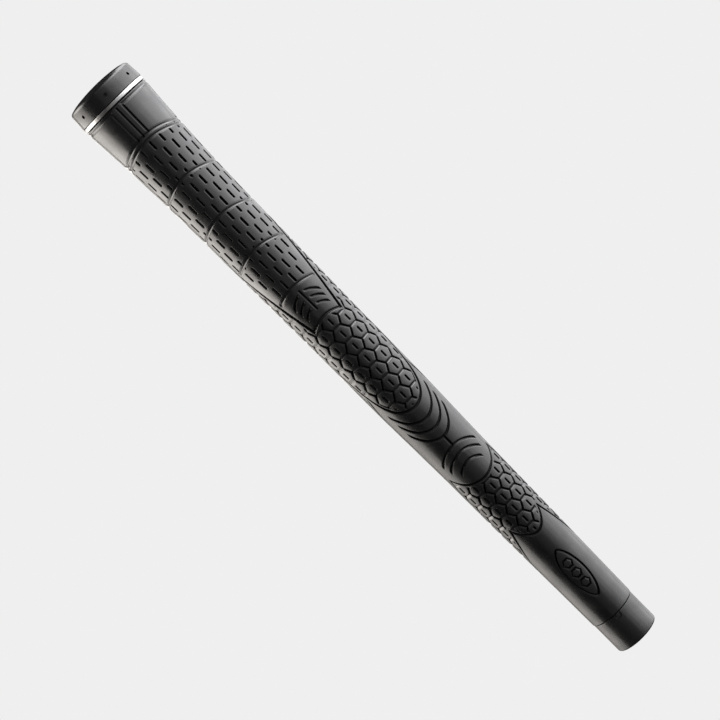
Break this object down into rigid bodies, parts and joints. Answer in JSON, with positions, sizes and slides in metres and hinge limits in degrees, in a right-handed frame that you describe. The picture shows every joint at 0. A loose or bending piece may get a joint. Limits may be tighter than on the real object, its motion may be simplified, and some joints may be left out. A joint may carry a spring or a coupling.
{
  "type": "golf grip",
  "caption": "Tapered slip-on rubber grip for a golf club, with an engraved sleeve, a butt cap with an accent ring, and a tapered bore for the shaft.",
  "frame": {"origin": "centre of the mouth, where the shaft goes in, on the mouth's flat rim", "axes": "+Z along the grip from the mouth to the butt cap; -Y is the front, where the oval medallion is; +X to the right when the front is seen with the butt up"},
  "size_m": [0.027, 0.027, 0.268],
  "materials": {
    "cap_rubber": "hard moulded rubber, fine matte",
    "ring": "bright satin",
    "sleeve_rubber": "black moulded rubber, fine grain with a soft sheen",
    "collar_rubber": "black moulded rubber, smooth",
    "core_rubber": "dull dark grey rubber"
  },
  "bodies": {
    "root": {"end_cap": "cap_rubber", "accent_ring": "ring", "outer_sleeve": "sleeve_rubber", "tip_collar": "collar_rubber", "core_sleeve": "core_rubber"}
  },
  "joints": []
}
